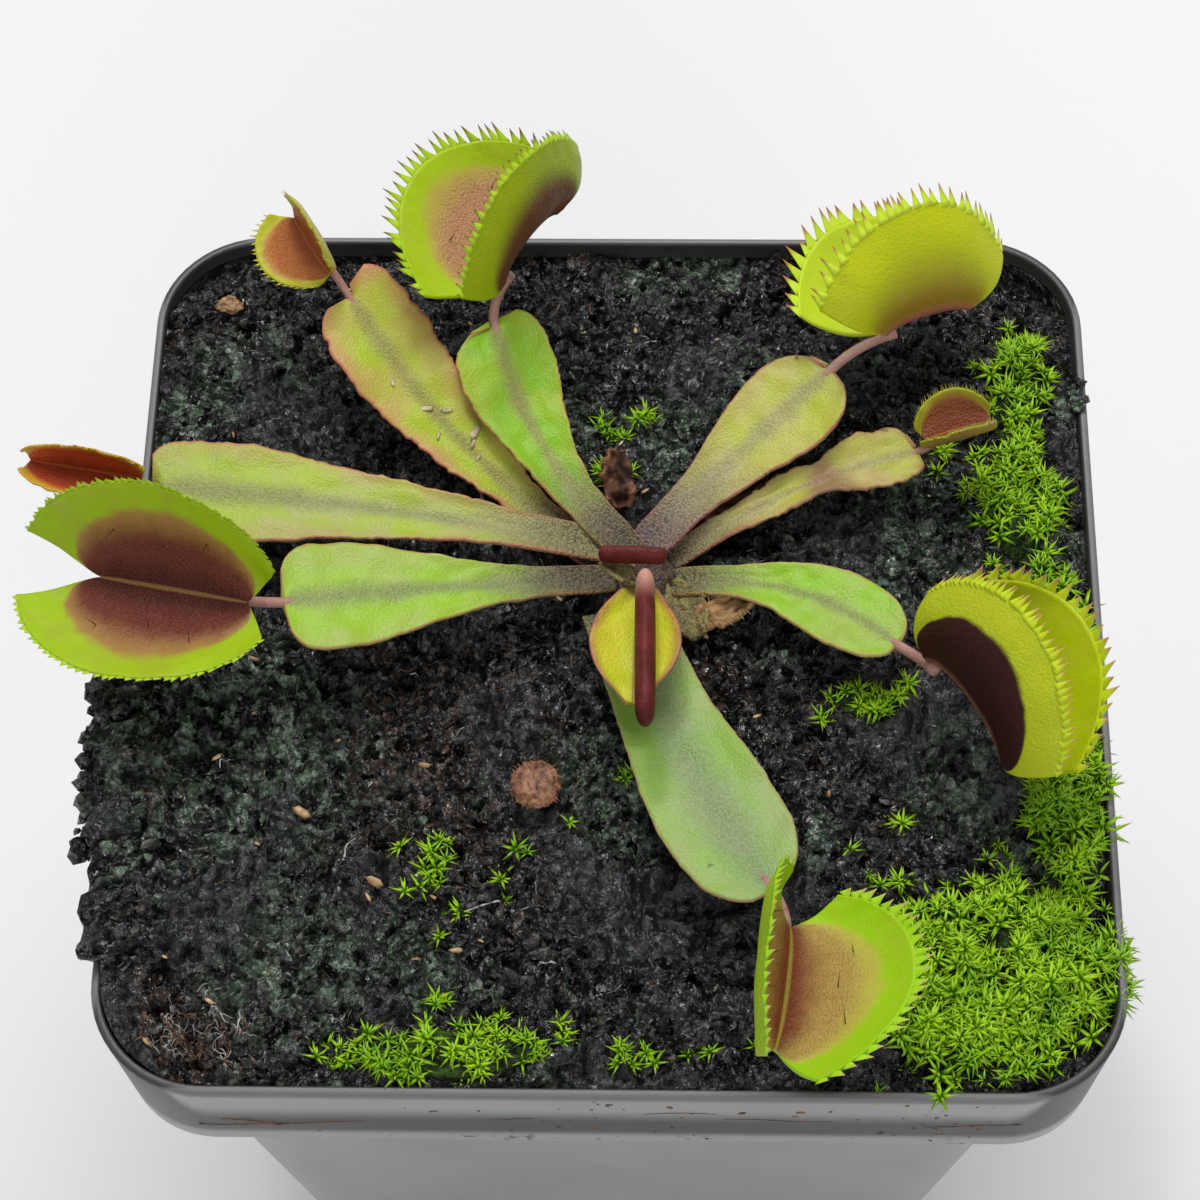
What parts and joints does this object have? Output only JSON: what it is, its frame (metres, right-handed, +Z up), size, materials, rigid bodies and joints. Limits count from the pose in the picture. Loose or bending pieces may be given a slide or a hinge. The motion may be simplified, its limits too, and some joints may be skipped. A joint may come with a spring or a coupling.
{
  "type": "potted venus flytrap",
  "caption": "Low rosette of flat green leaves that end in toothed, two-lobed snap traps, growing in wet peat with moss in a small square grey nursery pot.",
  "frame": {"origin": "centre of the pot's flat foot, on the surface it stands on", "axes": "+Z up; -Y towards the front of the pot, the side that the camera sees; +X to the right seen from the front"},
  "size_m": [0.094, 0.0906, 0.1036],
  "materials": {
    "pot_plastic": "satin grey moulded plastic, dusty at the rim",
    "wet_peat": "black wet peat, glossy where it is wettest",
    "crown_base": "fleshy olive-green plant base",
    "leaf_green": "soft green leaf, grey-brown and pebbled along the midrib",
    "trap_lobes": "bright green lobes, red-brown inside",
    "young_leaf": "yellow-green young leaf with a red edge",
    "bud_red": "dark red shut young trap",
    "dead_leaf": "dry brown or olive leaf remains",
    "moss_green": "bright green star moss",
    "seed_brown": "fuzzy brown seed head",
    "bark_tan": "tan bark flake"
  },
  "bodies": {
    "root": {"pot": "pot_plastic", "soil": "wet_peat", "crown": "crown_base", "leaf_blade_1": "leaf_green", "trap_1": "trap_lobes", "leaf_blade_2": "leaf_green", "trap_2": "trap_lobes", "leaf_blade_3": "leaf_green", "trap_3": "trap_lobes", "leaf_blade_4": "leaf_green", "trap_4": "trap_lobes", "leaf_blade_5": "leaf_green", "trap_5": "trap_lobes", "leaf_blade_6": "leaf_green", "trap_6": "trap_lobes", "leaf_blade_7": "leaf_green", "trap_7": "trap_lobes", "leaf_blade_8": "leaf_green", "trap_8": "trap_lobes", "young_blade_1": "young_leaf", "young_blade_2": "young_leaf", "bud_trap_1": "bud_red", "bud_trap_2": "bud_red", "dead_blade": "dead_leaf", "dead_trap": "dead_leaf", "old_stub": "dead_leaf", "brown_strip": "dead_leaf", "moss_right_back": "moss_green", "moss_right_upper": "moss_green", "moss_right_middle": "moss_green", "moss_right_front": "moss_green", "moss_corner": "moss_green", "moss_front": "moss_green", "moss_tuft_back": "moss_green", "moss_tuft_right": "moss_green", "moss_tuft_front": "moss_green", "seed_head": "seed_brown", "bark_flake": "bark_tan"}
  },
  "joints": []
}
